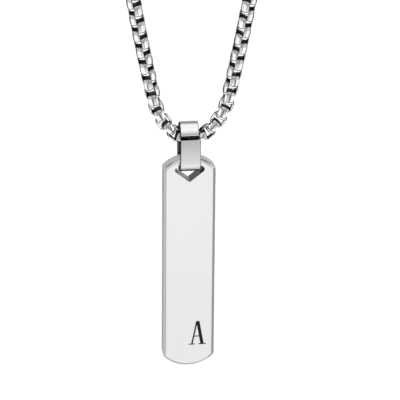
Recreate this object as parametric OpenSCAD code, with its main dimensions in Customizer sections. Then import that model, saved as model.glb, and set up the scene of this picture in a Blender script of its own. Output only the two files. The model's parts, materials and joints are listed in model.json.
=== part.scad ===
// Initial pendant necklace: an upright steel bar with one inlaid letter hangs from a folded
// strip bail on a rounded box chain. Millimetres, Z up. The origin is the underside of the
// loop's top, where it rests on what carries it. The loop lies in the XZ plane and the bar's
// face looks along -Y.

/* [Chain] */
// Length of the whole loop along its middle line, clasp included
loop_len = 600; // [560:10:700]
// Links on each side of the middle one
half_links = 174; // [172:2:176]
// Outer diameter of the rounded chain
chain_d = 2.9; // [2.8:0.05:3]
// Width of the strip that a link is bent from
strip_w = 1.5; // [1.4:0.05:1.6]
// Outer length of a link along the chain
link_len = 2.74; // [2.7:0.02:2.76]
// Length of the opening in a link
link_bore_len = 2.24; // [2.2:0.02:2.26]
// Width of the opening in a link
link_bore_w = 2.02; // [1.98:0.01:2.04]
// Radius of the ball that rounds a link's ends
link_ball_r = 1.62; // [1.58:0.01:1.64]
// Links on each side that are modelled one by one
open_links = 60; // [40:2:98]

/* [Bail] */
// Width of the bail's strip
bail_w = 4; // [3.8:0.1:4]
// Width of the strip at the very top
bail_top_w = 3.66; // [3.5:0.02:3.8]
// Thickness of the strip
bail_strip = 0.75; // [0.6:0.05:0.8]
// Inner radius of both bends
bail_bore_r = 2.2; // [2.15:0.05:2.3]
// Distance between the centres of the two bends
bail_reach = 4.25; // [4.2:0.05:4.4]
// Height of the gap between the strip's ends
bail_gap = 0.75; // [0.5:0.05:0.8]
// Height of the gap's lower edge above the upper bend's centre
bail_gap_z = 0.25; // [0.1:0.05:0.4]
// How far the bail and the bar hang to the side of the loop's middle
pendant_x = -0.4; // [-0.5:0.1:0.5]

/* [Bar] */
// Width of the bar
bar_w = 10.3; // [10:0.1:10.6]
// Height of the bar
bar_h = 45.5; // [40:0.5:50]
// Thickness of the bar
bar_t = 3; // [2.6:0.1:3]
// Radius of the rounded top and bottom
bar_end_r = 7; // [6:0.25:8]
// Radius where the ends run into the sides
bar_corner_r = 0.8; // [0.7:0.1:1.4]
// Width of the polished bevel round the face
bevel_w = 0.56; // [0.4:0.02:0.6]
// Depth of that bevel
bevel_d = 0.26; // [0.2:0.02:0.3]
// Small bevel round the back
back_bevel = 0.15; // [0.1:0.05:0.25]
// Height of metal above the opening
web_h = 1.5; // [1.4:0.05:1.6]
// Height of the opening for the bail
slot_h = 3.45; // [3.3:0.05:3.6]
// Largest width of the opening
slot_w = 5.8; // [5.7:0.05:6]
// Width of the opening along its top
slot_top_w = 4.8; // [4.8:0.05:5]

/* [Letter] */
// Height of the letter
letter_h = 5.2; // [4:0.1:6]
// Width of the letter
letter_w = 3.4; // [3:0.1:3.8]
// Middle of the letter, right of the bar's middle
letter_x = 1.75; // [1:0.05:2]
// Foot of the letter above the bar's lowest point
letter_z = 4.7; // [3.6:0.1:8]
// Depth of the recess that holds the inlay
letter_cut = 0.3; // [0.2:0.02:0.4]

/* [Clasp] */
// Length of the clasp
clasp_len = 13; // [13:0.5:14]
// Width of the clasp across its claw
clasp_w = 5.6; // [5.2:0.2:6]
// Thickness of the clasp
clasp_t = 1.7; // [1.5:0.05:1.7]

/* [Hidden] */
steel = "lightsteelblue";
round_fn = 48;
hull_fn = 32;

// The bends of one side of the loop, from the bail up, as rows of start angle, end angle and
// radius. The chain starts level inside the bail and stands almost upright above it.
bail_flat = 0.1;
BENDS = [
    // from, to, radius
    [0, 42, 4.8],
    [42, 77.5, 12.5],
    [77.5, 80.4, 400]];
strand_a = BENDS[2][1];

function rad(a) = a * PI / 180;
function bend_len(i) = rad(BENDS[i][1] - BENDS[i][0]) * BENDS[i][2];
function bend_x(i, a) = BENDS[i][2] * (sin(a) - sin(BENDS[i][0]));
function bend_z(i, a) = BENDS[i][2] * (cos(BENDS[i][0]) - cos(a));

// Where each bend starts: distance along the chain, X and Z
start_0 = [bail_flat, bail_flat, 0];
function bend_end(i, start) = start
    + [bend_len(i), bend_x(i, BENDS[i][1]), bend_z(i, BENDS[i][1])];
start_1 = bend_end(0, start_0);
start_2 = bend_end(1, start_1);
start_3 = bend_end(2, start_2);

// The straight strand and the round top close the loop at the wanted length
half_len = loop_len / 2;
top_turn = rad(180 - strand_a) / sin(strand_a);
strand_len = (half_len - start_3[0] - start_3[1] * top_turn) / (1 + top_turn * cos(strand_a));
start_4 = start_3 + strand_len * [1, cos(strand_a), sin(strand_a)];
top_r = start_4[1] / sin(strand_a);
loop_h = start_4[2] + top_r * (cos(strand_a) + 1);

// X, Z and direction of the chain's middle line at distance s from the bail
function arc_at(start, a0, r, s) = let (a = a0 + (s - start[0]) / r * 180 / PI)
    [start[1] + r * (sin(a) - sin(a0)), start[2] + r * (cos(a0) - cos(a)), a];
function bend_at(i, start, s) = arc_at(start, BENDS[i][0], BENDS[i][2], s);
function route(s) =
    s < start_0[0] ? [s, 0, 0] :
    s < start_1[0] ? bend_at(0, start_0, s) :
    s < start_2[0] ? bend_at(1, start_1, s) :
    s < start_3[0] ? bend_at(2, start_2, s) :
    s < start_4[0] ? [
        start_3[1] + (s - start_3[0]) * cos(strand_a),
        start_3[2] + (s - start_3[0]) * sin(strand_a), strand_a] :
    arc_at(start_4, strand_a, top_r, s);

// The clasp's end wires sit in the last links, each beside the link before
clasp_wire = 1.1;
wire_in_link = 0.355;
last_link_s = half_len - clasp_len / 2 + clasp_wire / 2 - wire_in_link;
link_pitch = last_link_s / half_links;
clasp_drop = loop_h - route(half_len - clasp_len / 2 + clasp_wire / 2)[1];

// Heights of the parts below the loop's top
rest_z = chain_d / 2;
chain_z = rest_z - loop_h;
swing_rise = 0.33;
swing_z = chain_z + swing_rise;
bend_z_low = swing_z - bail_reach;
web_clear = 0.2;
web_z = bend_z_low - sqrt(pow(bail_bore_r, 2) - pow(bar_t / 2, 2)) + web_clear;
bar_top = web_z + web_h;
bar_low = bar_top - bar_h;
bail_out_r = bail_bore_r + bail_strip;

// One link: a rounded barrel cut to the strip's width, with the opening across it. The chain
// runs along Z and the opening along Y.
module link() {
    difference() {
        intersection() {
            cylinder(d = chain_d, h = link_len, center = true, $fn = round_fn);
            sphere(r = link_ball_r, $fn = round_fn);
            cube([chain_d + 1, strip_w, link_len], center = true);
        }
        cube([link_bore_w, strip_w + 1, link_bore_len], center = true);
    }
}

// Links stand crosswise to their neighbours, half a right angle out of the loop's plane, and
// the strands twist slowly. Rows of distance from the bail and extra turn, for each side.
RIGHT_TWIST = [[0, -45], [3, -48], [6, -60], [9, -57], [16, -26], [21, -13], [31, 0]];
LEFT_TWIST = [
    [0, -45], [3, -48], [6, -56], [8, -51], [16, -12], [21, 1], [31, 14], [60, 14], [200, 0]];

module placed_link(i, twist) {
    at = route(i * link_pitch);
    side = i % 2 == 0 ? 45 : -45;
    translate([at[0], 0, at[1] + chain_z])
        rotate([0, 90 - at[2], 0])
            rotate([0, 0, side + lookup(i * link_pitch, twist)])
                link();
}

module front_chain() {
    color(steel) {
        placed_link(0, RIGHT_TWIST);
        for (i = [1 : open_links]) {
            placed_link(i, RIGHT_TWIST);
            mirror([1, 0, 0]) placed_link(i, LEFT_TWIST);
        }
    }
}

// A plain round envelope for the stretch of chain that lies behind
tube_sides = 8;
tube_ring_step = 6.5;
join_gap = 0.1;
tube_start = open_links * link_pitch + link_len / 2 + join_gap;
tube_end = half_len - clasp_len / 2 - join_gap;
tube_rings = round((tube_end - tube_start) / tube_ring_step);

function tube_ring(s) = let (at = route(s)) [
    for (k = [0 : tube_sides - 1]) let (b = (k + 0.5) * 360 / tube_sides, r = chain_d / 2) [
        at[0] - r * cos(b) * sin(at[2]),
        r * sin(b),
        at[1] + chain_z + r * cos(b) * cos(at[2])]];

module chain_tube() {
    points = [
        for (j = [0 : tube_rings])
            each tube_ring(tube_start + (tube_end - tube_start) * j / tube_rings)];
    last = tube_rings * tube_sides;
    sides = [
        for (j = [0 : tube_rings - 1], k = [0 : tube_sides - 1])
            let (a = j * tube_sides + k, b = j * tube_sides + (k + 1) % tube_sides)
            [a, a + tube_sides, b + tube_sides, b]];
    ends = [
        [for (k = [0 : tube_sides - 1]) k],
        [for (k = [tube_sides - 1 : -1 : 0]) last + k]];
    polyhedron(points = points, faces = concat(sides, ends));
}

module back_chain() {
    color(steel) {
        chain_tube();
        mirror([1, 0, 0]) chain_tube();
    }
}

// A plain claw clasp in one piece, lying flat where the loop rests
claw_x = -clasp_len / 2 + clasp_w / 2;
claw_tail_x = 2.2;
claw_tail_r = 1.7;
claw_mouth_r = clasp_w / 2 - clasp_wire;
claw_mouth_tail_x = -0.2;
claw_mouth_tail_r = 0.9;
eye_r = 1.9;
gate_slit = 0.25;
gate_a = 125;

module clasp_outline() {
    eye_x = clasp_len / 2 - eye_r;
    difference() {
        union() {
            hull() {
                translate([claw_x, 0]) circle(d = clasp_w, $fn = hull_fn);
                translate([claw_tail_x, 0]) circle(r = claw_tail_r, $fn = hull_fn);
            }
            translate([eye_x, 0]) circle(r = eye_r, $fn = hull_fn);
        }
        hull() {
            translate([claw_x, 0]) circle(r = claw_mouth_r, $fn = hull_fn);
            translate([claw_mouth_tail_x, 0]) circle(r = claw_mouth_tail_r, $fn = hull_fn);
        }
        translate([eye_x, 0]) circle(r = eye_r - clasp_wire, $fn = hull_fn);
        translate([claw_x, 0])
            rotate(gate_a)
                translate([0, -gate_slit / 2])
                    square([clasp_w, gate_slit]);
    }
}

module clasp() {
    color("silver")
        translate([0, 0, rest_z - clasp_drop])
            linear_extrude(clasp_t, center = true)
                clasp_outline();
}

// The bail: one strip bent into a tall closed loop whose ends face each other in front
module bend_bar(r, long, z) {
    translate([0, 0, z])
        rotate([0, 90, 0])
            cylinder(r = r, h = long, center = true, $fn = round_fn);
}

module long_loop(r, long) {
    bend_bar(r, long, swing_z);
    bend_bar(r, long, bend_z_low);
    translate([-long / 2, -r, bend_z_low]) cube([long, 2 * r, bail_reach]);
}

// The strip narrows a little over the top
module bail_front() {
    top = swing_z + bail_out_r + 1;
    low = bend_z_low - bail_out_r - 1;
    side = bail_w / 2;
    top_side = side - (bail_w - bail_top_w) / 2 * (bail_out_r + 1) / bail_out_r;
    polygon([[-side, low], [side, low], [side, swing_z],
        [top_side, top], [-top_side, top], [-side, swing_z]]);
}

module bail() {
    color("silver")
        translate([pendant_x, 0, 0])
            intersection() {
                difference() {
                    long_loop(bail_out_r, bail_w);
                    long_loop(bail_bore_r, bail_w + 1);
                    translate([-bail_w, -bail_out_r - 1, swing_z + bail_gap_z])
                        cube([2 * bail_w, bail_out_r + 1, bail_gap]);
                }
                rotate([90, 0, 0])
                    linear_extrude(2 * bail_out_r + 1, center = true)
                        bail_front();
            }
}

// The bar's outline, seen from the front, moved inwards by a distance. Each quarter is half an
// end arc, the rounded corner and the straight side.
arc_steps = 14;
corner_steps = 6;
corner_x = bar_w / 2 - bar_corner_r;
corner_a = asin(corner_x / (bar_end_r - bar_corner_r));
corner_z = (bar_end_r - bar_corner_r) * cos(corner_a) - bar_end_r;

function quarter(inset) = [
    for (k = [0 : arc_steps]) let (a = corner_a * k / arc_steps)
        [(bar_end_r - inset) * sin(a), (bar_end_r - inset) * cos(a) - bar_end_r],
    for (k = [1 : corner_steps]) let (a = corner_a + (90 - corner_a) * k / corner_steps)
        [corner_x + (bar_corner_r - inset) * sin(a), corner_z + (bar_corner_r - inset) * cos(a)]];
function backwards(list) = [for (k = [len(list) - 1 : -1 : 0]) list[k]];

// Clockwise from the top middle: right half down, left half up
function outline(inset) = let (q = quarter(inset), last = len(q) - 1) concat(
    [for (p = q) [p[0], p[1] + bar_top]],
    [for (k = [last : -1 : 0]) [q[k][0], bar_low - q[k][1]]],
    [for (k = [1 : last]) [-q[k][0], bar_low - q[k][1]]],
    [for (k = [last : -1 : 1]) [-q[k][0], q[k][1] + bar_top]]);

// Depth along Y and inset of each outline that the bar is lofted through
BAR_SECTIONS = [
    // depth, inset
    [-bar_t / 2, bevel_w],
    [bevel_d - bar_t / 2, 0],
    [bar_t / 2 - back_bevel, 0],
    [bar_t / 2, back_bevel]];

module bar_body() {
    n = len(outline(0));
    points = [for (row = BAR_SECTIONS) each [for (p = outline(row[1])) [p[0], row[0], p[1]]]];
    last = (len(BAR_SECTIONS) - 1) * n;
    sides = [
        for (j = [0 : len(BAR_SECTIONS) - 2], k = [0 : n - 1])
            let (a = j * n + k, b = j * n + (k + 1) % n)
            [a, a + n, b + n, b]];
    ends = [[for (k = [0 : n - 1]) k], [for (k = [n - 1 : -1 : 0]) last + k]];
    polyhedron(points = points, faces = concat(sides, ends));
}

// The opening: a flat top, rounded shoulders and two straight sides down to a rounded point
shoulder_r = 0.6;
point_r = 0.3;
shoulder_drop = 0.9;

module slot_outline() {
    hull() {
        for (x = [-1, 1]) {
            translate([x * (slot_w / 2 - shoulder_r), web_z - shoulder_drop])
                circle(r = shoulder_r, $fn = hull_fn);
            translate([x * (slot_top_w / 2 - point_r), web_z - point_r])
                circle(r = point_r, $fn = hull_fn);
        }
        translate([0, web_z - slot_h + point_r]) circle(r = point_r, $fn = hull_fn);
    }
}

// A plain capital A with one heavy stroke, thin strokes and flat serifs. Grow widens it by the
// gap between the inlay and its recess.
letter_thick = 0.62;
letter_thin = 0.26;
serif_h = 0.17;
bar_of_a_z = 0.34;
apex_x = 0.47;
left_foot_x = 0.17;
right_foot_x = 0.79;

module stroke(foot, top, wide, grow) {
    half = wide / 2 + grow;
    polygon([[foot - half, -grow], [foot + half, -grow],
        [top + half, letter_h + grow], [top - half, letter_h + grow]]);
}

module serif(x, wide, grow) {
    translate([x - wide / 2 - grow, -grow]) square([wide + 2 * grow, serif_h + 2 * grow]);
}

module letter(grow) {
    foot_l = left_foot_x * letter_w;
    foot_r = right_foot_x * letter_w;
    apex = apex_x * letter_w;
    cross_z = bar_of_a_z * letter_h;
    cross_l = foot_l + (apex - foot_l) * bar_of_a_z;
    cross_r = foot_r + (apex - foot_r) * bar_of_a_z;
    stroke(foot_l, apex, letter_thin, grow);
    intersection() {
        stroke(foot_r, apex + (letter_thick - letter_thin) / 2, letter_thick, grow);
        translate([-grow, -grow]) square([letter_w + 1, letter_h + 2 * grow]);
    }
    translate([cross_l, cross_z - grow]) square([cross_r - cross_l, serif_h + 2 * grow]);
    serif(foot_l, 2 * foot_l, grow);
    serif(foot_r, 2 * (letter_w - foot_r), grow);
}

inlay_gap = 0.03;

module place_letter(grow, face, deep) {
    translate([letter_x - letter_w / 2, face - bar_t / 2, bar_low + letter_z])
        rotate([90, 0, 0])
            translate([0, 0, -deep])
                linear_extrude(deep)
                    letter(grow);
}

module bar_pendant() {
    color("silver")
        translate([pendant_x, 0, 0])
            difference() {
                bar_body();
                rotate([90, 0, 0])
                    linear_extrude(2 * bar_t, center = true)
                        slot_outline();
                place_letter(inlay_gap, -1, letter_cut + 1);
            }
}

module initial() {
    color("black")
        translate([pendant_x, 0, 0])
            place_letter(0, inlay_gap, letter_cut - 2 * inlay_gap);
}

front_chain();
back_chain();
clasp();
bail();
bar_pendant();
initial();
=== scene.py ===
# Initial pendant necklace, dressed for the render: chain links, clasp, bail, bar and letter with
# their steel and enamel finishes, on a pale floor under soft studio light. Metres, in the packed
# model's frame: Z up, the bar's face looks along -Y, the origin is where the loop rests.
import json
import math

import bmesh
import bpy
import numpy as np
from mathutils import Matrix, Vector


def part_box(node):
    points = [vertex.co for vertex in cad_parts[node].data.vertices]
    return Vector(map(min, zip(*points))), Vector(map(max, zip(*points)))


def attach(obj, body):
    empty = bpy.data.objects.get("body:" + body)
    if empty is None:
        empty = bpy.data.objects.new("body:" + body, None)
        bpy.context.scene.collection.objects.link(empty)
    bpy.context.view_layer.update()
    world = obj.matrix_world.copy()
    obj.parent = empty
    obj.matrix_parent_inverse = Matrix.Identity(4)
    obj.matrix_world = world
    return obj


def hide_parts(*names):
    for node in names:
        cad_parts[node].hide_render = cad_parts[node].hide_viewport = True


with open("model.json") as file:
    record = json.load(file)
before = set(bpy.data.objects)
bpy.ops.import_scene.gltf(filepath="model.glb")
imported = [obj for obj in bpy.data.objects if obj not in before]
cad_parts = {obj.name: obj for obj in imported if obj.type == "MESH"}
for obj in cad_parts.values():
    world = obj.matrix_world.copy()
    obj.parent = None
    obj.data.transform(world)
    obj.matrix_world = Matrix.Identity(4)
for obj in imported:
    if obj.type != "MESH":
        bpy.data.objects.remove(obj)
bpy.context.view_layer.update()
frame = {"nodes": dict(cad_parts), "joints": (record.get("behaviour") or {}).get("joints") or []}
MM = 0.001
MICRON = 0.001 * MM

# Driving sizes, as in the construction
LOOP_LEN = 600 * MM
HALF_LINKS = 174
OPEN_LINKS = 60
CHAIN_D = 2.9 * MM
LINK_LEN = 2.74 * MM
LINK_BORE_LEN = 2.24 * MM
LINK_BALL_R = 1.68 * MM
BAIL_FLAT = 0.1 * MM
BENDS = [
    # from and to in degrees, radius
    (0, 42, 4.8 * MM),
    (42, 77.5, 12.5 * MM),
    (77.5, 80.4, 400 * MM)]
CLASP_LEN = 13 * MM
CLASP_W = 5.6 * MM
CLASP_T = 1.7 * MM
CLASP_WIRE = 1.1 * MM
WIRE_IN_LINK = 0.355 * MM
BAIL_W = 4 * MM
BAIL_TOP_W = 3.66 * MM
BAIL_BORE_R = 2.2 * MM
BAIL_SWING_RISE = 0.33 * MM
BAR_END_R = 7 * MM
BAR_CORNER_R = 0.8 * MM
SLOT_W = 5.8 * MM
SLOT_TOP_W = 4.8 * MM
SLOT_H = 3.45 * MM
WEB_H = 1.5 * MM
LETTER_H = 5.2 * MM
LETTER_W = 3.4 * MM
LETTER_X = 1.75 * MM
LETTER_Z = 4.7 * MM

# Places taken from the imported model
bar_low, bar_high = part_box("bar_pendant")
clasp_low, clasp_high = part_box("clasp")
joint_z = {joint["name"]: joint["pos_m"][2] for joint in frame["joints"]}
swing_z = joint_z["bail_swing"]
bend_z_low = joint_z["bar_swing"]
pendant_x = (bar_low.x + bar_high.x) / 2

# Camera: the photograph's place, aimed at the picture's middle
CAMERA_AZIMUTH = math.radians(-7.446)
CAMERA_ELEVATION = math.radians(22.857)
CAMERA_ROLL = math.radians(0.493)
CAMERA_DISTANCE = 500.4 * MM
CAMERA_LENS_MM = 231.4
SENSOR_MM = 36
AIM = Vector((pendant_x + 2.26 * MM, 0, swing_z - 13.82 * MM))


def make_camera():
    data = bpy.data.cameras.new("camera")
    data.lens = CAMERA_LENS_MM
    data.sensor_width = SENSOR_MM
    data.clip_start = 0.01
    camera = bpy.data.objects.new("camera", data)
    bpy.context.scene.collection.objects.link(camera)
    back = Vector((
        math.sin(CAMERA_AZIMUTH) * math.cos(CAMERA_ELEVATION),
        -math.cos(CAMERA_AZIMUTH) * math.cos(CAMERA_ELEVATION),
        math.sin(CAMERA_ELEVATION)))
    camera.location = Vector((pendant_x, 0, swing_z)) + back * CAMERA_DISTANCE
    look = (AIM - camera.location).to_track_quat("-Z", "Y")
    camera.rotation_mode = "QUATERNION"
    camera.rotation_quaternion = look @ Matrix.Rotation(CAMERA_ROLL, 3, "Z").to_quaternion()
    bpy.context.scene.camera = camera


# Node helpers
def new_node(tree, kind, **settings):
    node = tree.nodes.new(kind)
    for name, value in settings.items():
        setattr(node, name, value)
    return node


def put(tree, socket, value):
    """Links a socket to another one, or sets it to a number or colour."""
    if isinstance(value, bpy.types.NodeSocket):
        tree.links.new(value, socket)
    else:
        socket.default_value = value


def calc(tree, operation, *values):
    node = new_node(tree, "ShaderNodeMath", operation=operation)
    for socket, value in zip(node.inputs, values):
        put(tree, socket, value)
    return node.outputs[0]


def both(tree, first, second):
    """The overlap of two masks."""
    return calc(tree, "MULTIPLY", first, second)


def ramp(tree, value, low, high, out_low=0.0, out_high=1.0):
    """Maps value smoothly from low..high to out_low..out_high, held at both ends."""
    node = new_node(tree, "ShaderNodeMapRange", interpolation_type="SMOOTHSTEP")
    put(tree, node.inputs["Value"], value)
    node.inputs["From Min"].default_value = low
    node.inputs["From Max"].default_value = high
    node.inputs["To Min"].default_value = out_low
    node.inputs["To Max"].default_value = out_high
    return node.outputs["Result"]


def band(tree, value, low, high, blur):
    """One between low and high, zero outside, with soft edges."""
    rise = ramp(tree, value, low - blur, low + blur)
    fall = ramp(tree, value, high - blur, high + blur, 1.0, 0.0)
    return both(tree, rise, fall)


def blend_values(tree, amount, first, second):
    """The first value where amount is zero, the second where it is one."""
    node = new_node(tree, "ShaderNodeMix", data_type="FLOAT")
    put(tree, node.inputs[0], amount)
    put(tree, node.inputs[2], first)
    put(tree, node.inputs[3], second)
    return node.outputs[0]


# Materials: their grain in cells per metre, and how strongly it shows
POLISH_SCALE = 420
MARKS_SCALE = 9000
MARKS_STRENGTH = 0.12
RIPPLE_SCALE = 2500
RIPPLE_STRENGTH = 0.1
DULLEST = 0.96
BRIGHTEST = 1.03
# Fine marks drawn out along the height or the depth of a piece, as factors for X, Y and Z
ALONG_STRIP = (1, 1, 0.06)
ALONG_BAR = (1, 1, 0.03)
THROUGH_BAR = (1, 0.05, 1)


def noise(tree, where, scale, detail, stretch=(1, 1, 1)):
    """Noise with a scale in cells per metre, stretched along an axis."""
    mapping = new_node(tree, "ShaderNodeMapping")
    mapping.inputs["Scale"].default_value = [scale * s for s in stretch]
    tree.links.new(where, mapping.inputs["Vector"])
    texture = new_node(tree, "ShaderNodeTexNoise")
    texture.inputs["Scale"].default_value = 1.0
    texture.inputs["Detail"].default_value = detail
    tree.links.new(mapping.outputs["Vector"], texture.inputs["Vector"])
    return texture.outputs["Fac"]


def surface(name):
    """A new material, its Principled shader and its object coordinates."""
    material = bpy.data.materials.new(name)
    material.use_nodes = True
    tree = material.node_tree
    shader = tree.nodes["Principled BSDF"]
    where = new_node(tree, "ShaderNodeTexCoord").outputs["Object"]
    return material, tree, shader, where


def two_tone(tree, amount, first, second):
    """A colour between two, by amount."""
    node = new_node(tree, "ShaderNodeMix", data_type="RGBA")
    tree.links.new(amount, node.inputs[0])
    node.inputs[6].default_value = (*first, 1)
    node.inputs[7].default_value = (*second, 1)
    return node.outputs[2]


def fade(tree, where, axis, low, high, out_low, out_high):
    """A factor that goes from one value to another between two places along an axis."""
    split = new_node(tree, "ShaderNodeSeparateXYZ")
    tree.links.new(where, split.inputs[0])
    return ramp(tree, split.outputs[axis], low, high, out_low, out_high)


def add_bump(tree, shader, height, strength, distance):
    bump = new_node(tree, "ShaderNodeBump")
    bump.inputs["Strength"].default_value = strength
    bump.inputs["Distance"].default_value = distance
    tree.links.new(height, bump.inputs["Height"])
    tree.links.new(bump.outputs["Normal"], shader.inputs["Normal"])


def steel(name, tone, rough, lines=(1, 1, 1), microns=0.6, painted_fade=None, edge=1.0):
    """Steel with a slightly uneven polish and fine marks, drawn out along the axis with the
    smallest factor of lines. A fade takes the arguments of fade and paints shade that changes the
    tone from place to place. An edge below one keeps painted shade dark where it is seen at a low
    angle."""
    material, tree, shader, where = surface(name)
    shader.inputs["Metallic"].default_value = 1.0
    shader.inputs["Specular Tint"].default_value = (edge, edge, edge, 1)
    cloud = noise(tree, where, POLISH_SCALE, 3.0)
    marks = noise(tree, where, MARKS_SCALE, 3.0, lines)
    colour = two_tone(
        tree, cloud, [DULLEST * t for t in tone], [min(1, BRIGHTEST * t) for t in tone])
    if painted_fade:
        painted_dimming = new_node(tree, "ShaderNodeVectorMath", operation="SCALE")
        tree.links.new(colour, painted_dimming.inputs[0])
        tree.links.new(fade(tree, where, *painted_fade), painted_dimming.inputs["Scale"])
        colour = painted_dimming.outputs[0]
    put(tree, shader.inputs["Base Color"], colour)
    # From 0.6 to 1.4 times rough
    uneven = calc(tree, "MULTIPLY_ADD", cloud, 0.5 * rough, 0.6 * rough)
    put(tree, shader.inputs["Roughness"], calc(tree, "MULTIPLY_ADD", marks, 0.3 * rough, uneven))
    add_bump(tree, shader, marks, MARKS_STRENGTH, microns * MICRON)
    return material


def enamel():
    """Black gloss enamel with a faint ripple."""
    material, tree, shader, where = surface("black_enamel")
    ripple = noise(tree, where, RIPPLE_SCALE, 2.0)
    put(tree, shader.inputs["Base Color"],
        two_tone(tree, ripple, (0.003, 0.003, 0.004), (0.008, 0.008, 0.010)))
    put(tree, shader.inputs["Roughness"], ramp(tree, ripple, 0.3, 0.7, 0.16, 0.28))
    shader.inputs["Specular IOR Level"].default_value = 0.2
    add_bump(tree, shader, ripple, RIPPLE_STRENGTH, 3 * MICRON)
    return material


# Steels, each with its tone and its roughness
POLISHED_CHAIN = steel("polished_chain_steel", (0.86, 0.86, 0.875), 0.10)
# Painted dark lines on the links' flanks, below their face and down its middle near the bail,
# standing in for reflected shade
PAINTED_DARK_LINE = steel("painted_dark_line_steel", (0.06, 0.06, 0.062), 0.3, edge=0.3)
# A painted faint dark line down the middle of the links away from the bail, standing in for
# reflected shade
PAINTED_FAINT_LINE = steel("painted_faint_line_steel", (0.62, 0.62, 0.63), 0.2)
# Painted shade on the links' upper ends
PAINTED_UPPER_END_SHADE = steel("painted_upper_end_shade_steel", (0.50, 0.50, 0.51), 0.2)
# A painted highlight on the links' lower ends, brighter than their face
PAINTED_LOWER_END_HIGHLIGHT = steel("painted_lower_end_highlight_steel", (0.97, 0.97, 0.98), 0.12)
# Painted shade on the links' inner faces and the tips of their upper ends
PAINTED_INNER_SHADE = steel("painted_inner_shade_steel", (0.20, 0.20, 0.204), 0.32, edge=0.3)
# The bail's shadow, painted on the links inside it
PAINTED_BAIL_SHADOW = steel("painted_bail_shadow_steel", (0.05, 0.05, 0.053), 0.32, edge=0.3)
BAIL_STEEL = steel("bail_steel", (0.67, 0.67, 0.682), 0.13, ALONG_STRIP)
# Painted shade on the bail's inner face, deepening from its left edge towards the middle
PAINTED_BAIL_INNER_SHADE = steel(
    "painted_bail_inner_shade_steel", (0.24, 0.24, 0.25), 0.3, ALONG_STRIP,
    painted_fade=("X", pendant_x - 1.95 * MM, pendant_x - 1.35 * MM, 1, 0.2))
# Painted shade on the bail's narrow edges
PAINTED_BAIL_SIDE_SHADE = steel("painted_bail_side_shade_steel", (0.09, 0.09, 0.093), 0.3, ALONG_STRIP, edge=0.3)
# Painted shade under the bail's lower bend
PAINTED_BAIL_UNDERSIDE_SHADE = steel("painted_bail_underside_shade_steel", (0.06, 0.06, 0.063), 0.3, ALONG_STRIP)
# The bar's face, darkened towards its bottom as painted shade
BAR_FACE = steel(
    "bar_face_steel", (0.98, 0.98, 1.0), 0.24, ALONG_BAR,
    painted_fade=("Z", bar_low.z, bar_high.z, 0.885, 1))
# The bar's bevel, toned down from the face's steel as painted shade
BAR_BEVEL_PAINTED_SHADE = steel("bar_bevel_painted_shade_steel", (0.48, 0.48, 0.49), 0.24, ALONG_BAR)
# Deeper painted shade on the bevels that look right and the opening's walls that look left
BAR_DEEP_PAINTED_SHADE = steel("bar_deep_painted_shade_steel", (0.27, 0.27, 0.28), 0.24, ALONG_BAR)
BAR_SATIN = steel("bar_satin_steel", (0.90, 0.90, 0.915), 0.5, THROUGH_BAR, microns=1.5)
# Satin steel for the opening's walls, toned darker than the outer walls as painted shade in the
# opening
SLOT_SATIN_PAINTED_SHADE = steel("slot_satin_painted_shade_steel", (0.72, 0.72, 0.733), 0.4, THROUGH_BAR, microns=1.5)
CLASP_STEEL = steel("clasp_steel", (0.84, 0.84, 0.855), 0.13)
ENAMEL = enamel()


# Mesh helpers
def make_object(name, verts, faces, materials, indices, smooth=True):
    """An object from points, faces and a material number for each face."""
    mesh = bpy.data.meshes.new(name)
    mesh.from_pydata([tuple(v) for v in verts], [], [tuple(f) for f in faces])
    for material in materials:
        mesh.materials.append(material)
    mesh.polygons.foreach_set("material_index", indices)
    mesh.polygons.foreach_set("use_smooth", [smooth] * len(mesh.polygons))
    mesh.update()
    made = bpy.data.objects.new(name, mesh)
    bpy.context.scene.collection.objects.link(made)
    return made


def loft(name, rings, materials, bands, caps):
    """A closed solid through rings of equal length. bands has a material number for each
    stretch between rings, caps one for each end."""
    n = len(rings[0])
    verts = [point for ring in rings for point in ring]
    faces = []
    indices = []
    for j, number in enumerate(bands):
        for k in range(n):
            a, b = j * n + k, j * n + (k + 1) % n
            faces.append((a, a + n, b + n, b))
            indices.append(number)
    last = (len(rings) - 1) * n
    faces.append(range(n))
    faces.append(range(last + n - 1, last - 1, -1))
    indices.extend(caps)
    made = make_object(name, verts, faces, materials, indices)
    fix_normals(made)
    return made


def fix_normals(made):
    """Turns all faces outwards."""
    mesh = bmesh.new()
    mesh.from_mesh(made.data)
    bmesh.ops.recalc_face_normals(mesh, faces=mesh.faces)
    mesh.to_mesh(made.data)
    mesh.free()


def bake_modifiers(made):
    """Replaces the mesh by its modified form and drops the modifiers."""
    graph = bpy.context.evaluated_depsgraph_get()
    mesh = bpy.data.meshes.new_from_object(
        made.evaluated_get(graph), preserve_all_data_layers=True, depsgraph=graph)
    made.modifiers.clear()
    made.data = mesh


def combine(made, tool, operation):
    """Cuts the tool from a solid or joins it, and removes the tool."""
    modifier = made.modifiers.new("cut", "BOOLEAN")
    modifier.operation = operation
    modifier.solver = "EXACT"
    modifier.use_self = True
    modifier.object = tool
    bake_modifiers(made)
    bpy.data.objects.remove(tool)


def tidy_shading(made, angle):
    """Smooth shading that keeps the big faces flat and the sharper edges crisp."""
    made.data.polygons.foreach_set("use_smooth", [True] * len(made.data.polygons))
    made.data.set_sharp_from_angle(angle=math.radians(angle))
    weights = made.modifiers.new("weights", "WEIGHTED_NORMAL")
    weights.keep_sharp = True
    bake_modifiers(made)


def hull_of_circles(circles, grow, steps):
    """Convex outline round circles given as two coordinates and a radius."""
    points = []
    for k in range(steps):
        c, s = math.cos(2 * math.pi * k / steps), math.sin(2 * math.pi * k / steps)
        x, z, r = max(circles, key=lambda o: o[0] * c + o[1] * s + o[2])
        points.append((x + (r + grow) * c, z + (r + grow) * s))
    return points


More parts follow.
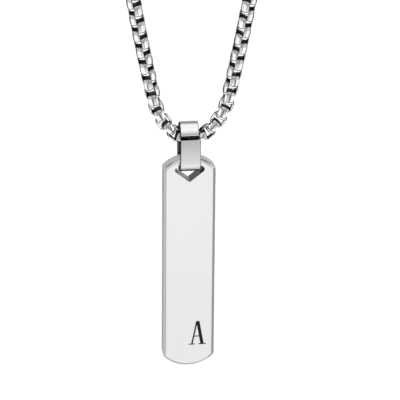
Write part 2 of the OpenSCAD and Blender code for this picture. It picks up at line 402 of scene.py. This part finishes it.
# Chain
def chain_stretches():
    """Rows of start distance, X, Z, direction and radius for one side, from the bail up."""
    rows = [(0, 0, 0, 0, None)]
    s, x, z = BAIL_FLAT, BAIL_FLAT, 0
    for start, end, radius in BENDS:
        a, b = math.radians(start), math.radians(end)
        rows.append((s, x, z, a, radius))
        s += radius * (b - a)
        x += radius * (math.sin(b) - math.sin(a))
        z += radius * (math.cos(a) - math.cos(b))
    rows.append((s, x, z, b, None))
    turn = (math.pi - b) / math.sin(b)
    straight = (LOOP_LEN / 2 - s - x * turn) / (1 + turn * math.cos(b))
    s += straight
    x += straight * math.cos(b)
    z += straight * math.sin(b)
    rows.append((s, x, z, b, x / math.sin(b)))
    return rows


STRETCHES = chain_stretches()


def route(s):
    """X, Z and direction of the chain's middle line at distance s from the bail."""
    start, x, z, angle, radius = [row for row in STRETCHES if row[0] <= s][-1]
    if radius is None:
        d = s - start
        return x + d * math.cos(angle), z + d * math.sin(angle), angle
    turned = angle + (s - start) / radius
    return (
        x + radius * (math.sin(turned) - math.sin(angle)),
        z + radius * (math.cos(angle) - math.cos(turned)),
        turned)


# The last link hangs in the clasp's end
last_link_s = LOOP_LEN / 2 - CLASP_LEN / 2 + CLASP_WIRE / 2 - WIRE_IN_LINK
link_pitch = last_link_s / HALF_LINKS
chain_z = swing_z - BAIL_SWING_RISE

LINK_STEELS = [
    POLISHED_CHAIN, PAINTED_DARK_LINE, PAINTED_FAINT_LINE, PAINTED_INNER_SHADE, PAINTED_UPPER_END_SHADE, PAINTED_LOWER_END_HIGHLIGHT, PAINTED_BAIL_SHADOW]
FACE, DARK_PAINTED_LINE, FAINT_PAINTED_LINE, INNER_PAINTED_SHADE, UPPER_PAINTED_SHADE, LOWER_PAINTED_HIGHLIGHT, BAIL_PAINTED_SHADOW = range(len(LINK_STEELS))

# Directions round a link, in degrees from its side towards its end. Its first FACE_TURNS steps
# are the turned face. The rounded end follows, whose flat tip starts after END_TURNS steps.
LINK_TURNS = [0, 10, 19, 25.5, 32, 38, 42, 46.5, 51, 57, 64, 76]
FACE_TURNS = 3
END_TURNS = 8
FACE_FLAT = 0.45 * MM
BORE_ROUNDING = 5
OUTSIDE_ROUNDING = 24
STRIP_EDGE_R = 0.10 * MM
BARREL_R = 6 * MM
# The links are roomier, and their painted middle line is wider and darker, where the chain bends
# through the bail
LINK_SIZES = [
    # up to this link: strip width, opening width, half the painted middle line's width, its
    # painted finish
    (3, 1.58 * MM, 2.0 * MM, 0.09 * MM, DARK_PAINTED_LINE),
    (6, 1.78 * MM, 2.0 * MM, 0.11 * MM, DARK_PAINTED_LINE),
    (9, 1.85 * MM, 1.98 * MM, 0.11 * MM, DARK_PAINTED_LINE),
    (HALF_LINKS, 1.85 * MM, 1.98 * MM, 0.05 * MM, FAINT_PAINTED_LINE)]


def rounded_limit(limits, sharpness):
    """Distance at which the nearest of several limits lies, with soft corners between them."""
    return sum(limit ** -sharpness for limit in limits) ** (-1 / sharpness)


def link_section(turn, strip_w, bore_w, painted_line_half_w):
    """Y and distance from the link's middle of the points round the strip, in one direction.
    The points run from the painted middle line over the outside, the flank and the opening, and
    back."""
    c, s = abs(math.cos(turn)) + 1e-6, abs(math.sin(turn)) + 1e-6
    bore = rounded_limit((bore_w / 2 / c, LINK_BORE_LEN / 2 / s), BORE_ROUNDING)

    def outside(y):
        along = min(CHAIN_D / 2 * s / c, LINK_LEN / 2)
        sag = along ** 2 / (2 * BARREL_R)
        side = (math.sqrt((CHAIN_D / 2) ** 2 - y * y) - sag) / c
        ball = math.sqrt(LINK_BALL_R ** 2 - y * y)
        return rounded_limit((side, ball, LINK_LEN / 2 / s), OUTSIDE_ROUNDING)

    edge = strip_w / 2
    r = min(STRIP_EDGE_R, 0.45 * (outside(edge) - bore))
    half = [
        (painted_line_half_w, outside(painted_line_half_w)),
        (FACE_FLAT, outside(FACE_FLAT)),
        (edge - STRIP_EDGE_R, outside(edge - STRIP_EDGE_R)),
        (edge - 0.3 * STRIP_EDGE_R, outside(edge) - 0.3 * r),
        (edge, outside(edge) - r),
        (edge, bore + 0.7 * r),
        (edge - 0.7 * STRIP_EDGE_R, bore)]
    back = [(-y, d) for y, d in reversed(half)]
    return half + back


def link_finish(j, k, turn_count, point_count, painted_line_finish):
    """Material number of one patch: j counts round the link, k round the strip. Painted shade
    lies on the inner face, the upper end and its tip, painted dark lines on the flanks, under the
    face and down its middle, and a painted highlight on the lower end.
    """
    inner = point_count // 2 - 1
    half_turn = turn_count // 2
    step = min(j % half_turn, half_turn - 1 - j % half_turn)
    on_flank = abs(k - inner) == 2
    in_upper_half = j < half_turn
    if k == inner:
        return INNER_PAINTED_SHADE
    if on_flank:
        return DARK_PAINTED_LINE
    if in_upper_half and step >= END_TURNS:
        return INNER_PAINTED_SHADE
    if in_upper_half and step >= FACE_TURNS:
        return UPPER_PAINTED_SHADE
    if step == FACE_TURNS:
        return DARK_PAINTED_LINE
    if step > FACE_TURNS:
        return LOWER_PAINTED_HIGHLIGHT
    if k == point_count - 1:
        return painted_line_finish
    return FACE


def link_mesh(strip_w, bore_w, painted_line_half_w, painted_line_finish):
    """Points, faces and material numbers of one link: chain along Z, opening along Y."""
    half = LINK_TURNS + [90] + [180 - t for t in reversed(LINK_TURNS)][:-1]
    turns = [math.radians(t) for t in half + [180 + t for t in half]]
    sections = [link_section(turn, strip_w, bore_w, painted_line_half_w) for turn in turns]
    n = len(sections[0])
    points = np.array([
        (d * math.cos(turn), y, d * math.sin(turn))
        for turn, section in zip(turns, sections) for y, d in section])
    faces = []
    numbers = []
    for j in range(len(turns)):
        for k in range(n):
            a, b = j * n + k, j * n + (k + 1) % n
            c, d = (j + 1) % len(turns) * n + k, (j + 1) % len(turns) * n + (k + 1) % n
            faces.append((a, b, d, c))
            numbers.append(link_finish(j, k, len(turns), n, painted_line_finish))
    return points, np.array(faces), numbers


# The links' turn about the chain: half a right angle out of the loop's plane, with a slow twist
# that is level at the clasp
CLASP_TWIST_LINKS = 14
RIGHT_TWIST = [
    # distance from the bail in millimetres, extra turn in degrees
    (0, -45),
    (3, -48),
    (6, -60),
    (9, -57),
    (16, -26),
    (21, -13),
    (31, 0)]
LEFT_TWIST = [
    (0, -45),
    (3, -48),
    (6, -56),
    (8, -51),
    (16, -12),
    (21, 1),
    (31, 14),
    (60, 14),
    (200, 0)]


def link_roll(i, mirrored):
    """Turn of one link about the chain's direction."""
    rows = LEFT_TWIST if mirrored else RIGHT_TWIST
    extra = float(np.interp(i * link_pitch / MM, [d for d, _ in rows], [a for _, a in rows]))
    settle = max(0, i - (HALF_LINKS - CLASP_TWIST_LINKS)) / CLASP_TWIST_LINKS
    side = 45 if i % 2 == 0 else -45
    return math.radians(side + extra - 45 * settle)


def link_places(numbers, mirrored):
    """Number, placing matrix and side of each link."""
    places = []
    for i in numbers:
        x, z, angle = route(i * link_pitch)
        place = (Matrix.Translation((x, 0, z + chain_z))
            @ Matrix.Rotation(math.pi / 2 - angle, 4, "Y")
            @ Matrix.Rotation(link_roll(i, mirrored), 4, "Z"))
        if mirrored:
            place = Matrix.Diagonal((-1, 1, 1, 1)) @ place
        places.append((i, np.array(place), mirrored))
    return places


# Patches of links nearer the middle than this take the bail's painted shadow
PAINTED_SHADOW_REACH = 1.9 * MM
LINK_SHAPES = [(last, link_mesh(*sizes)) for last, *sizes in LINK_SIZES]


def make_links(name, places):
    """One object with all the links of a stretch."""
    verts = []
    all_faces = []
    all_numbers = []
    for count, (i, place, mirrored) in enumerate(places):
        points, faces, numbers = next(shape for last, shape in LINK_SHAPES if i <= last)
        verts.append(points @ place[:3, :3].T + place[:3, 3])
        turned = faces[:, ::-1] if mirrored else faces
        all_faces.append(turned + count * len(points))
        middles = np.abs(verts[-1][faces, 0].mean(axis=1) - pendant_x)
        # Patches inside the bail take its painted shadow
        all_numbers.extend(np.where(middles < PAINTED_SHADOW_REACH, BAIL_PAINTED_SHADOW, numbers).tolist())
    return make_object(
        name, np.concatenate(verts), np.concatenate(all_faces).tolist(), LINK_STEELS,
        all_numbers)


def make_chain():
    front = link_places(range(OPEN_LINKS + 1), False)
    front += link_places(range(1, OPEN_LINKS + 1), True)
    made = make_links("front_links", front)
    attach(made, "chain")
    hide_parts("front_chain")
    hidden = range(OPEN_LINKS + 1, HALF_LINKS + 1)
    for name, mirrored in (("back_links_right", False), ("back_links_left", True)):
        made = make_links(name, link_places(hidden, mirrored))
        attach(made, "chain")
        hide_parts("back_chain")


# Clasp
CLAW_X = -CLASP_LEN / 2 + CLASP_W / 2
CLAW_TAIL = (2.2 * MM, 1.7 * MM)
CLAW_MOUTH_R = CLASP_W / 2 - CLASP_WIRE
CLAW_MOUTH_TAIL = (-0.2 * MM, 0.9 * MM)
EYE_R = 1.9 * MM
GATE_SLIT = 0.25 * MM
GATE_ANGLE = math.radians(125)
GATE_FROM = 0.3 * CLASP_W
GATE_TO = CLASP_W
CLASP_STEPS = 64
CLASP_EDGES = [
    # depth below the flat side, how far the outline draws in
    (0, 0.34 * MM),
    (0.05 * MM, 0.18 * MM),
    (0.15 * MM, 0.06 * MM),
    (0.34 * MM, 0)]


def both_sides(rows, thick):
    """Edge rows of one side followed by the same rows of the other."""
    return rows + [(thick - depth, inset) for depth, inset in reversed(rows)]


def make_clasp():
    middle = (clasp_low.z + clasp_high.z) / 2

    def plate(name, circles, sign):
        """A flat plate with eased edges, or with sign 1 a cutter that eases an opening's rims."""
        rows = both_sides(CLASP_EDGES, CLASP_T)
        if sign > 0:
            rows = [(-CLASP_T, CLASP_EDGES[0][1])] + rows + [(2 * CLASP_T, CLASP_EDGES[0][1])]
        rings = [
            [(x, y, middle + depth - CLASP_T / 2)
                for x, y in hull_of_circles(circles, sign * inset, CLASP_STEPS)]
            for depth, inset in rows]
        return loft(name, rings, [CLASP_STEEL], [0] * (len(rings) - 1), [0, 0])

    eye_x = CLASP_LEN / 2 - EYE_R
    claw = plate("claw_clasp", [(CLAW_X, 0, CLASP_W / 2), (CLAW_TAIL[0], 0, CLAW_TAIL[1])], -1)
    combine(claw, plate("eye", [(eye_x, 0, EYE_R)], -1), "UNION")
    combine(claw, plate("mouth", [(CLAW_X, 0, CLAW_MOUTH_R),
        (CLAW_MOUTH_TAIL[0], 0, CLAW_MOUTH_TAIL[1])], 1), "DIFFERENCE")
    combine(claw, plate("eye_hole", [(eye_x, 0, EYE_R - CLASP_WIRE)], 1), "DIFFERENCE")
    away = (math.cos(GATE_ANGLE), math.sin(GATE_ANGLE))
    across = (-away[1] * GATE_SLIT / 2, away[0] * GATE_SLIT / 2)
    slit = [
        [(CLAW_X + away[0] * reach + side * across[0], away[1] * reach + side * across[1],
            middle + z)
            for reach, side in ((GATE_FROM, -1), (GATE_TO, -1), (GATE_TO, 1), (GATE_FROM, 1))]
        for z in (-CLASP_T, CLASP_T)]
    combine(claw, loft("slit", slit, [CLASP_STEEL], [0], [0, 0]), "DIFFERENCE")
    tidy_shading(claw, angle=35)
    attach(claw, "chain")
    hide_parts("clasp")


# Bail: a strip with rounded edges, bowed a little over its front
STRIP_T = 0.68 * MM
BAIL_EDGE_R = 0.2 * MM
FRONT_BOW = math.radians(3.5)
CURL_SHIFT = -0.18 * MM
LOW_BEND_DROP = 0.07 * MM
GAP_LOW = 0.25 * MM
GAP_HIGH = 0.93 * MM
END_EDGES = [
    # distance from the strip's end, how far its section draws in
    (0, 0.1 * MM),
    (0.03 * MM, 0.04 * MM)]
# Steps along the plate's top, its bow, the lower bend and the curl, and round a corner
PLATE_STEPS = 3
BOW_STEPS = 8
LOW_STEPS = 30
CURL_STEPS = 28
ROUND_STEPS = 4
BAIL_STEELS = [BAIL_STEEL, PAINTED_BAIL_INNER_SHADE, PAINTED_BAIL_SIDE_SHADE, PAINTED_BAIL_UNDERSIDE_SHADE]
STRIP, BAIL_INNER_PAINTED_SHADE, BAIL_SIDE_PAINTED_SHADE, BAIL_UNDER_PAINTED_SHADE = range(len(BAIL_STEELS))
# How far a patch of the strip may lean before it takes the painted shade of its side or its
# underside
SIDE_LEAN = 0.25
UNDER_LEAN = 0.62
INSIDE_REACH = BAIL_BORE_R + 0.02 * MM


def arc(centre_z, radius, start, end, steps):
    """Y, Z and outward direction along a bend. Angles turn from the front over the top."""
    turns = [start + (end - start) * k / steps for k in range(steps + 1)]
    return [(-radius * math.cos(a), centre_z + radius * math.sin(a), a) for a in turns]


def bail_line():
    """The strip's middle line from the plate's upper end, down, round the back and over."""
    r = BAIL_BORE_R + STRIP_T / 2
    low_z = bend_z_low - LOW_BEND_DROP
    plate_end = math.asin(GAP_LOW / r)
    curl_end = math.asin(GAP_HIGH / r)
    half_chord = (swing_z - low_z) / 2 + r * math.sin(FRONT_BOW)
    bow_r = half_chord / math.sin(FRONT_BOW)
    top = arc(swing_z, r, plate_end, FRONT_BOW, PLATE_STEPS)
    bow_y = -r * math.cos(FRONT_BOW) + bow_r * math.cos(FRONT_BOW)
    bow = [(y + bow_y, z, a) for y, z, a in
        arc((swing_z + low_z) / 2, bow_r, FRONT_BOW, -FRONT_BOW, BOW_STEPS)]
    low = arc(low_z, r, -FRONT_BOW, -math.pi, LOW_STEPS)
    over = arc(swing_z, r, math.pi, curl_end, CURL_STEPS)
    return top[:-1] + bow[:-1] + low + over


def strip_section(half_w, half_t, r):
    """X and outward distance round the strip's section, with rounded corners."""
    points = []
    for sx, st, start in ((1, 1, 0), (-1, 1, 90), (-1, -1, 180), (1, -1, 270)):
        for k in range(ROUND_STEPS + 1):
            a = math.radians(start + 90 / ROUND_STEPS * k)
            points.append((sx * (half_w - r) + r * math.cos(a),
                st * (half_t - r) + r * math.sin(a)))
    return points


def bail_ring(y, z, a, inset, shift):
    """The strip's section at one place of its middle line. Over the chain it is narrower."""
    rise = min(1, max(0, z - swing_z) / GAP_HIGH)
    half_w = (BAIL_W + (BAIL_TOP_W - BAIL_W) * rise) / 2 - inset
    r = BAIL_EDGE_R - inset / 2
    out = (-math.cos(a), math.sin(a))
    return [(pendant_x + shift + x, y + out[0] * t, z + out[1] * t)
        for x, t in strip_section(half_w, STRIP_T / 2 - inset, r)]


def make_bail():
    line = bail_line()
    start, end = line[0], line[-1]

    def curl_shift(a):
        """The curl closes a little to the left of the plate."""
        return CURL_SHIFT * (1 - a / math.pi) if a > end[2] - 0.001 else 0.0

    def near_end(row, sign):
        """The rings that ease one end. sign is 1 where the strip starts, -1 where it ends."""
        y, z, a = row
        return [
            bail_ring(y - sign * d * math.sin(a), z - sign * d * math.cos(a), a, inset,
                curl_shift(a))
            for d, inset in END_EDGES]

    rings = near_end(start, 1)
    rings += [bail_ring(y, z, a, 0, curl_shift(a)) for y, z, a in line[1:-1]]
    rings += near_end(end, -1)[::-1]
    made = loft("folded_bail", rings, BAIL_STEELS, [STRIP] * (len(rings) - 1), [STRIP, STRIP])
    paint_bail_shade(made)
    tidy_shading(made, angle=60)
    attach(made, "bail")
    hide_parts("bail")


def paint_bail_shade(made):
    """Paints shade on the strip's inner face, its narrow edges and its underside."""
    for face in made.data.polygons:
        z = min(max(face.center.z, bend_z_low), swing_z)
        inward = Vector((0, face.center.y, face.center.z - z))
        if inward.length < INSIDE_REACH:
            face.material_index = BAIL_INNER_PAINTED_SHADE
        elif abs(face.normal.x) > SIDE_LEAN:
            face.material_index = BAIL_SIDE_PAINTED_SHADE
        elif face.normal.z < -UNDER_LEAN:
            face.material_index = BAIL_UNDER_PAINTED_SHADE


# Bar
BAR_STEELS = [BAR_FACE, BAR_BEVEL_PAINTED_SHADE, BAR_SATIN, BAIL_STEEL, SLOT_SATIN_PAINTED_SHADE, BAR_DEEP_PAINTED_SHADE]
FRONT, PAINTED_SHADE_BEVEL, SATIN, BACK, SLOT, DIM_PAINTED_SHADE = range(len(BAR_STEELS))
BAR_FRONT_ROWS = [
    # depth behind the face, how far the outline draws in
    (0.000 * MM, 0.600 * MM),
    (0.008 * MM, 0.555 * MM),
    (0.030 * MM, 0.500 * MM),
    (0.140 * MM, 0.250 * MM),
    (0.185 * MM, 0.160 * MM),
    (0.240 * MM, 0.080 * MM),
    (0.320 * MM, 0.020 * MM),
    (0.420 * MM, 0.000 * MM)]
BAR_BACK_ROWS = [
    # depth in front of the back, how far the outline draws in
    (0.300 * MM, 0.000 * MM),
    (0.130 * MM, 0.040 * MM),
    (0.040 * MM, 0.130 * MM),
    (0.000 * MM, 0.280 * MM)]
# The finish of each stretch between these rows, from the front to the back, with painted shade on
# the bevel
BAR_BANDS = [FRONT] + [PAINTED_SHADE_BEVEL] * 6 + [SATIN] * 3 + [BACK]
ARC_STEPS = 24
CORNER_STEPS = 8
SLOT_STEPS = 128
SLOT_RIM = 0.05 * MM
SLOT_SHOULDER_R = 0.6 * MM
SLOT_POINT_R = 0.3 * MM
SLOT_SHOULDER_DROP = 0.9 * MM
# How far a patch of the bevel or of the opening leans before it takes a painted highlight or
# painted shade
BAR_LEAN = 0.25
NEARLY_FLAT = 0.85


def bar_quarter(inset):
    """X and distance below the end's top, from the middle to the straight side."""
    half_w = (bar_high.x - bar_low.x) / 2
    reach = BAR_END_R - BAR_CORNER_R
    corner_x = half_w - BAR_CORNER_R
    corner_a = math.asin(corner_x / reach)
    corner_z = reach * math.cos(corner_a) - BAR_END_R
    points = []
    for k in range(ARC_STEPS + 1):
        a = corner_a * k / ARC_STEPS
        r = BAR_END_R - inset
        points.append((r * math.sin(a), r * math.cos(a) - BAR_END_R))
    for k in range(1, CORNER_STEPS + 1):
        a = corner_a + (math.pi / 2 - corner_a) * k / CORNER_STEPS
        r = BAR_CORNER_R - inset
        points.append((corner_x + r * math.sin(a), corner_z + r * math.cos(a)))
    return points


def bar_ring(y, inset):
    """The bar's outline at one depth."""
    quarter = bar_quarter(inset)
    right = [(x, bar_high.z + d) for x, d in quarter]
    right += [(x, bar_low.z - d) for x, d in reversed(quarter)]
    left = [(-x, z) for x, z in reversed(right[1:-1])]
    return [(pendant_x + x, y, z) for x, z in right + left]


def slot_cutter():
    """A cutter for the opening, whose rims are eased at the front and the back."""
    rim = SLOT_RIM
    rows = [(bar_low.y - MM, rim), (bar_low.y, rim), (bar_low.y + 0.2 * rim, 0.3 * rim),
        (bar_low.y + rim, 0), (bar_high.y - rim, 0), (bar_high.y, rim), (bar_high.y + MM, rim)]
    rings = [
        [(pendant_x + x, y, z) for x, z in hull_of_circles(slot_circles(), grow, SLOT_STEPS)]
        for y, grow in rows]
    return loft("slot", rings, BAR_STEELS, [SLOT] * (len(rings) - 1), [SLOT, SLOT])


def slot_circles():
    """X, Z and radius of the opening's five corners."""
    web_z = bar_high.z - WEB_H
    circles = [(0, web_z - SLOT_H + SLOT_POINT_R, SLOT_POINT_R)]
    for side in (-1, 1):
        circles.append((
            side * (SLOT_W / 2 - SLOT_SHOULDER_R), web_z - SLOT_SHOULDER_DROP, SLOT_SHOULDER_R))
        circles.append((
            side * (SLOT_TOP_W / 2 - SLOT_POINT_R), web_z - SLOT_POINT_R, SLOT_POINT_R))
    return circles


# The letter: its strokes' widths, and where they stand as shares of its width and its height
THICK = 0.62 * MM
THIN = 0.26 * MM
SERIF_H = 0.17 * MM
LEFT_AT = 0.17
RIGHT_AT = 0.79
APEX_AT = 0.47
CROSS_AT = 0.34
LETTER_CUT = 0.3 * MM
RECESS_GAP = 0.03 * MM


def letter_strokes():
    """Four-cornered outlines of the strokes, grown by the gap round the inlay."""
    g = RECESS_GAP
    left = LEFT_AT * LETTER_W
    right = RIGHT_AT * LETTER_W
    apex = APEX_AT * LETTER_W

    def slanted(foot, top, wide):
        """A stroke from the foot line to the top line, by its middles."""
        h = wide / 2 + g
        return [(foot - h, -g), (foot + h, -g), (top + h, LETTER_H + g), (top - h, LETTER_H + g)]

    def flat(x0, x1, z0):
        """A thin level stroke: the crossbar or a serif."""
        z1 = z0 + SERIF_H + g
        return [(x0, z0 - g), (x1, z0 - g), (x1, z1), (x0, z1)]

    cross_l = left + (apex - left) * CROSS_AT
    cross_r = right + (apex - right) * CROSS_AT
    return [
        slanted(left, apex, THIN),
        slanted(right, apex + (THICK - THIN) / 2, THICK),
        flat(cross_l, cross_r, CROSS_AT * LETTER_H),
        flat(-g, 2 * left + g, 0),
        flat(2 * right - LETTER_W - g, LETTER_W + g, 0)]


def letter_cut():
    """Cutters for the letter's recess, one for each stroke."""
    letter_left = pendant_x + LETTER_X - LETTER_W / 2
    for number, stroke in enumerate(letter_strokes()):
        rings = [
            [(letter_left + x, y, bar_low.z + LETTER_Z + z) for x, z in stroke]
            for y in (bar_low.y - MM, bar_low.y + LETTER_CUT)]
        yield loft(f"stroke_{number}", rings, BAR_STEELS, [SLOT], [SLOT, SLOT])


def paint_bar_highlight_and_shade(made):
    """Paints a highlight on the flattest bevel under the bar's top by giving it the face's
    finish, and paints shade on the bevels that look right and the walls that look left."""
    for face in made.data.polygons:
        number, normal = face.material_index, face.normal
        if number == PAINTED_SHADE_BEVEL and normal.z > BAR_LEAN and normal.y < -NEARLY_FLAT:
            # The face's steel here is a painted highlight
            face.material_index = FRONT
        elif number == PAINTED_SHADE_BEVEL and normal.x > BAR_LEAN:
            face.material_index = DIM_PAINTED_SHADE
        elif number == SLOT and normal.x < -BAR_LEAN:
            face.material_index = DIM_PAINTED_SHADE


def make_bar():
    rows = [(bar_low.y + depth, inset) for depth, inset in BAR_FRONT_ROWS]
    rows += [(bar_high.y - depth, inset) for depth, inset in BAR_BACK_ROWS]
    rings = [bar_ring(y, inset) for y, inset in rows]
    made = loft("engraved_bar", rings, BAR_STEELS, BAR_BANDS, [FRONT, BACK])
    combine(made, slot_cutter(), "DIFFERENCE")
    for tool in letter_cut():
        combine(made, tool, "DIFFERENCE")
    paint_bar_highlight_and_shade(made)
    tidy_shading(made, angle=40)
    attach(made, "bar")
    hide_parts("bar_pendant")


def finish_initial():
    """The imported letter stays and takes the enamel."""
    for place in frame["nodes"]["initial"].material_slots:
        place.material = ENAMEL


# Floor, backdrop and light
FLOOR_GAP = 1.0 * MM
FLOOR_SIZE = 16.0
FLOOR_GRAIN = 60
BACKDROP_R = 8.0
BACKDROP_STEPS = 64
FILL_POWER = 108
BROAD_POWER = 6
LAMP_SIZE = 3.0
LAMP_HEIGHT = 2.2


def make_floor():
    """A pale floor that polished metal doesn't mirror."""
    z = bar_low.z - FLOOR_GAP
    h = FLOOR_SIZE / 2
    material, tree, shader, where = surface("pale_floor")
    grain = noise(tree, where, FLOOR_GRAIN, 4.0)
    put(tree, shader.inputs["Base Color"],
        two_tone(tree, grain, (0.93, 0.93, 0.93), (0.95, 0.95, 0.95)))
    put(tree, shader.inputs["Roughness"], ramp(tree, grain, 0.3, 0.7, 0.18, 0.24))
    floor = make_object(
        "floor", [(-h, -h, z), (h, -h, z), (h, h, z), (-h, h, z)], [(0, 1, 2, 3)],
        [material], [0], smooth=False)
    floor.visible_glossy = False
    floor.visible_shadow = False


def make_backdrop():
    """A pale cylinder far round the scene, seen by the camera alone."""
    material = bpy.data.materials.new("pale_backdrop")
    material.use_nodes = True
    tree = material.node_tree
    tree.nodes.remove(tree.nodes["Principled BSDF"])
    glow = new_node(tree, "ShaderNodeEmission")
    glow.inputs["Color"].default_value = (1, 1, 1, 1)
    glow.inputs["Strength"].default_value = 1.0
    tree.links.new(glow.outputs[0], tree.nodes["Material Output"].inputs["Surface"])
    turns = [2 * math.pi * k / BACKDROP_STEPS for k in range(BACKDROP_STEPS)]
    ring = [(BACKDROP_R * math.cos(turn), BACKDROP_R * math.sin(turn)) for turn in turns]
    rings = [[(x, y, z) for x, y in ring] for z in (-BACKDROP_R, BACKDROP_R)]
    backdrop = loft("backdrop", rings, [material], [0], [0, 0])
    backdrop.visible_diffuse = False
    backdrop.visible_glossy = False
    backdrop.visible_shadow = False


# Brightness of the studio's parts, a pair for one that slopes. Where they lie is given in the
# functions below, by limits for the X, Y and Z of a direction.
STRIP_LIGHT = 1.4
BOX_LIGHT = 1.2
NEAR_WALLS = 0.6
FAR_WALLS = (0.26, 0.38)
SIDE_WALLS = 0.05
TABLE = (1.05, 0.65)
CARD_LIGHT = 1.2
GAP_LIGHT = 0.5
REAR_LIGHT = 0.08
UNDER_LIGHT = 0.05
GLOW_LIGHT = 0.42
AHEAD_LIGHT = 0.12
# The direction of the dark wall that draws the edges of round polished pieces
AHEAD = (0.12, 0.914, -0.388)


def light_above(tree, x, y, z, beside):
    """A strip light overhead, walls that fall off to the sides, and a low box at either side."""
    in_middle = ramp(tree, beside, 0.42, 0.62, 1.0, 0.0)
    strip = both(tree, in_middle, ramp(tree, z, 0.46, 0.98))
    strip = both(tree, strip, ramp(tree, y, 0.6, 0.8, 1.0, 0.0))
    far = ramp(tree, x, -0.3, 0.1, *FAR_WALLS)
    walls = blend_values(tree, ramp(tree, y, -0.2, 0.5), NEAR_WALLS, far)
    walls = calc(tree, "MULTIPLY_ADD", in_middle, walls, SIDE_WALLS)
    box = both(tree, ramp(tree, beside, 0.55, 0.7), ramp(tree, z, 0.55, 0.7, 1.0, 0.0))
    return blend_values(tree, box, blend_values(tree, strip, walls, STRIP_LIGHT), BOX_LIGHT)


def light_below(tree, y, z, beside):
    """A pale table with a card at either side, a dim gap before each, and a dark rear and
    middle. turn is the angle from the front round to the back, in radians."""
    turn = calc(tree, "ARCTAN2", beside, calc(tree, "MULTIPLY", y, -1.0))
    light = ramp(tree, z, -0.55, -0.2, *TABLE)
    light = blend_values(tree, ramp(tree, z, -0.8, -0.55, 1.0, 0.0), light, CARD_LIGHT)
    card = both(tree, ramp(tree, turn, 0.62, 0.8), ramp(tree, y, 0.2, 0.6, 1.0, 0.0))
    light = blend_values(tree, card, light, CARD_LIGHT)
    gap = both(tree, band(tree, turn, 0.38, 0.58, 0.05), ramp(tree, z, -0.6, -0.5))
    light = blend_values(tree, gap, light, GAP_LIGHT)
    rear = both(tree, ramp(tree, y, 0.3, 0.6), ramp(tree, z, -0.5, -0.42))
    light = blend_values(tree, rear, light, REAR_LIGHT)
    under = both(tree, ramp(tree, y, -0.25, 0.12), ramp(tree, beside, 0.15, 0.3, 1.0, 0.0))
    return blend_values(tree, under, light, UNDER_LIGHT)


def dark_ahead(tree, x, y, z):
    """One inside the cone round AHEAD, narrower far below, and zero above the horizon."""
    along = calc(tree, "MULTIPLY_ADD", z, AHEAD[2], calc(
        tree, "MULTIPLY_ADD", y, AHEAD[1], calc(tree, "MULTIPLY", x, AHEAD[0])))
    along = calc(tree, "ADD", along, ramp(tree, z, -0.7, -0.5, -0.2, 0.0))
    return both(tree, ramp(tree, along, 0.46, 0.66), ramp(tree, z, -0.24, -0.1, 1.0, 0.0))


def make_studio():
    """Soft surroundings by direction, which only gloss mirrors. What is matt is lit by the
    lamps."""
    world = bpy.data.worlds.new("studio")
    bpy.context.scene.world = world
    world.use_nodes = True
    world.cycles_visibility.diffuse = False
    tree = world.node_tree
    way = new_node(tree, "ShaderNodeTexCoord").outputs["Generated"]
    split = new_node(tree, "ShaderNodeSeparateXYZ")
    tree.links.new(way, split.inputs[0])
    x, y, z = split.outputs
    beside = calc(tree, "ABSOLUTE", x)
    above = light_above(tree, x, y, z, beside)
    below = light_below(tree, y, z, beside)
    light = blend_values(tree, ramp(tree, z, -0.04, 0.0), below, above)
    # A faint glow low on the right, beyond the object
    glow = both(tree, band(tree, z, -0.12, 0.12, 0.04), ramp(tree, x, 0.15, 0.3))
    glow = both(tree, glow, ramp(tree, y, 0.6, 0.75))
    light = blend_values(tree, glow, light, GLOW_LIGHT)
    light = blend_values(tree, dark_ahead(tree, x, y, z), light, AHEAD_LIGHT)
    background = tree.nodes["Background"]
    background.inputs["Color"].default_value = (1, 1, 1, 1)
    tree.links.new(light, background.inputs["Strength"])


def make_floor_light(name, power, shadow):
    """A broad soft light for the floor and the enamel, which polished metal doesn't mirror."""
    data = bpy.data.lights.new(name, "AREA")
    data.shape = "DISK"
    data.size = LAMP_SIZE
    data.energy = power
    data.use_shadow = shadow
    lamp = bpy.data.objects.new(name, data)
    lamp.location = (0, 0, LAMP_HEIGHT)
    lamp.visible_glossy = False
    lamp.visible_camera = False
    bpy.context.scene.collection.objects.link(lamp)


make_camera()
make_chain()
make_clasp()
make_bail()
make_bar()
finish_initial()
make_floor()
make_backdrop()
make_studio()
make_floor_light("fill_light", FILL_POWER, False)
make_floor_light("broad_light", BROAD_POWER, True)
bpy.context.scene.view_settings.view_transform = "Standard"
